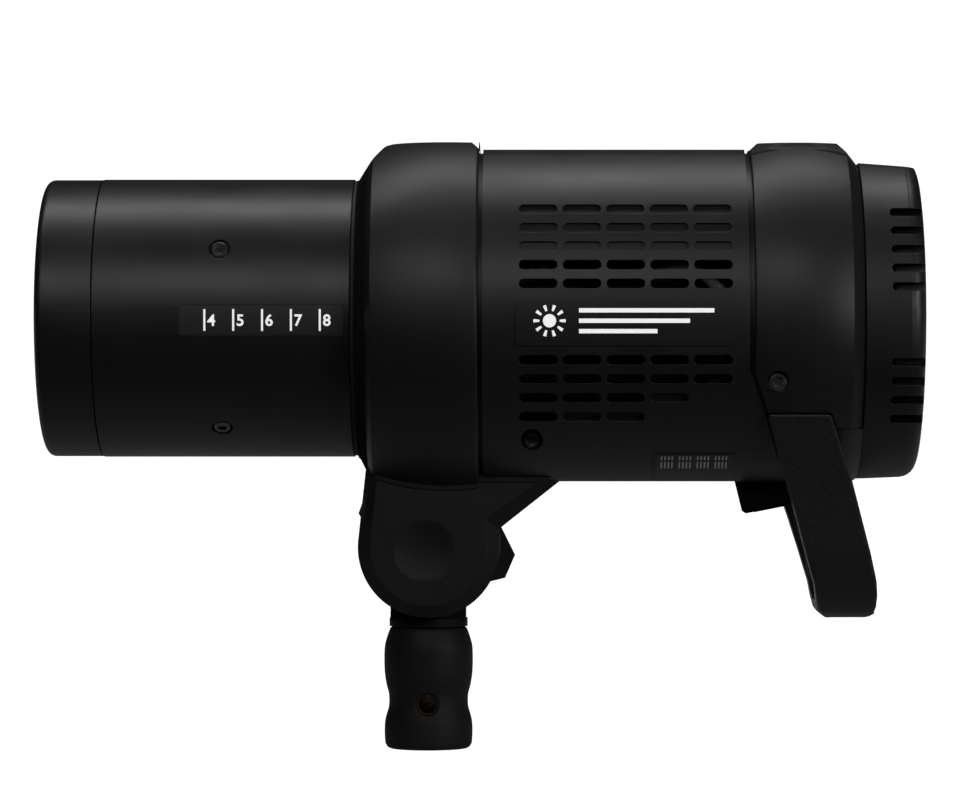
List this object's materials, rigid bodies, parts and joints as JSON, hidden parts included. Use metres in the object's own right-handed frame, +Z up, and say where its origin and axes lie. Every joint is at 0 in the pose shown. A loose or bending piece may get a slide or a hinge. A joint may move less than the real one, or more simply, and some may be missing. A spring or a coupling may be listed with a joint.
{
  "type": "monolight strobe",
  "caption": "Self-contained studio flash head: round body with a glass-fronted tube, vented middle, rear control panel, rear handle and a tilting bracket with a stand socket.",
  "frame": {"origin": "centre of the mouth of the stand socket, the lowest point of the part", "axes": "+Z up along the stand socket; the light fires towards -X and the control panel faces +X; the left side of the head is towards -Y"},
  "size_m": [0.312, 0.13, 0.2187],
  "materials": {
    "satin_black_paint": "satin, fine grain",
    "black_plastic": "matte, moulded grain",
    "gloss_black": "gloss",
    "black_rubber": "matte",
    "label_black": "matte printed film",
    "blued_steel": "blackened steel",
    "zinc_steel": "zinc plated",
    "alloy": "satin",
    "brass": "satin",
    "ceramic": "matte",
    "clear_glass": "clear",
    "frosted_glass": "frosted",
    "capacitor_sleeve": "shrink sleeve",
    "circuit_board": "solder mask",
    "copper": "enamelled wire",
    "display_dark": "dark display"
  },
  "bodies": {
    "stand": {"tilt_tongue": "satin_black_paint", "stand_socket": "satin_black_paint", "socket_insert": "brass"},
    "head": {"front_ring": "satin_black_paint", "front_glass": "frosted_glass", "glass_retainer": "zinc_steel", "barrel": "satin_black_paint", "barrel_scale": "label_black", "case_screws": "blued_steel", "reflector": "alloy", "lamp_plate": "alloy", "flash_tube": "clear_glass", "tube_socket": "ceramic", "modeling_lamp": "clear_glass", "lamp_holder": "ceramic", "heat_shield": "alloy", "front_collar": "satin_black_paint", "collar_gasket": "black_rubber", "housing_left": "black_plastic", "housing_right": "black_plastic", "rear_base": "black_plastic", "rear_collar": "satin_black_paint", "rear_cap": "black_plastic", "control_panel": "label_black", "name_plates": "label_black", "rating_label": "label_black", "handle": "black_plastic", "stand_bracket": "satin_black_paint", "bracket_screws": "zinc_steel", "umbrella_tube": "alloy", "tilt_nut": "zinc_steel", "friction_washers": "black_rubber", "chassis_frame": "alloy", "capacitors": "capacitor_sleeve", "capacitor_clamp": "zinc_steel", "power_board": "circuit_board", "transformer": "copper", "heatsink": "alloy", "trigger_coil": "copper", "fan_frame": "black_plastic", "mains_inlet": "gloss_black", "inlet_pins": "brass", "control_board": "circuit_board", "display": "display_dark", "display_window": "clear_glass", "photocell": "clear_glass", "sync_socket": "zinc_steel"},
    "tilt_lock": {"tilt_lever": "black_plastic", "tilt_bolt": "zinc_steel"},
    "umbrella_lock": {"umbrella_screw": "black_plastic"},
    "lock_pad": {"lock_pad": "brass"},
    "lock_knob": {"lock_screw": "zinc_steel", "lock_knob": "black_plastic"},
    "dial": {"dial": "black_rubber"},
    "test_button": {"button_test": "black_rubber"},
    "model_button": {"button_model": "black_rubber"},
    "sync_button": {"button_sync": "black_rubber"},
    "menu_button": {"button_menu": "black_rubber"},
    "power_rocker": {"power_switch": "gloss_black"},
    "fan": {"fan_rotor": "black_plastic"}
  },
  "joints": [
    {"name": "tilt", "type": "hinge", "parent": "stand", "child": "head", "pos_m": [0, 0, 0.073], "axis": [0, 1, 0], "range_deg": [-85, 60]},
    {"name": "tilt_lock_turn", "type": "hinge", "parent": "head", "child": "tilt_lock", "pos_m": [0, 0, 0.073], "axis": [0, 1, 0], "range_deg": [0, 120]},
    {"name": "umbrella_lock_turn", "type": "hinge", "parent": "head", "child": "umbrella_lock", "pos_m": [-0.014, 0.03, 0.0855], "axis": [0, 1, 0], "range_deg": [-180, 180]},
    {"name": "lock_slide", "type": "slide", "parent": "stand", "child": "lock_pad", "axis": [0, -1, 0], "range_m": [0, 0.003]},
    {"name": "lock_turn", "type": "hinge", "parent": "lock_pad", "child": "lock_knob", "pos_m": [0, 0.02, 0.0165], "axis": [0, -1, 0], "range_deg": [0, 720]},
    {"name": "dial_turn", "type": "hinge", "parent": "head", "child": "dial", "pos_m": [0.17, 0, 0.143], "axis": [1, 0, 0], "continuous": true},
    {"name": "test_press", "type": "slide", "parent": "head", "child": "test_button", "axis": [-1, 0, 0], "range_m": [0, 0.0008]},
    {"name": "model_press", "type": "slide", "parent": "head", "child": "model_button", "axis": [-1, 0, 0], "range_m": [0, 0.0008]},
    {"name": "sync_press", "type": "slide", "parent": "head", "child": "sync_button", "axis": [-1, 0, 0], "range_m": [0, 0.0008]},
    {"name": "menu_press", "type": "slide", "parent": "head", "child": "menu_button", "axis": [-1, 0, 0], "range_m": [0, 0.0008]},
    {"name": "power_rock", "type": "hinge", "parent": "head", "child": "power_rocker", "pos_m": [0.167, 0, 0.117], "axis": [0, 0, 1], "range_deg": [-14, 0]},
    {"name": "fan_spin", "type": "hinge", "parent": "head", "child": "fan", "pos_m": [0.139, 0, 0.159], "axis": [1, 0, 0], "continuous": true}
  ],
  "couplings": [
    {"joint": "lock_slide", "follows": "lock_turn", "m_per_rad": 0.0002385}
  ]
}
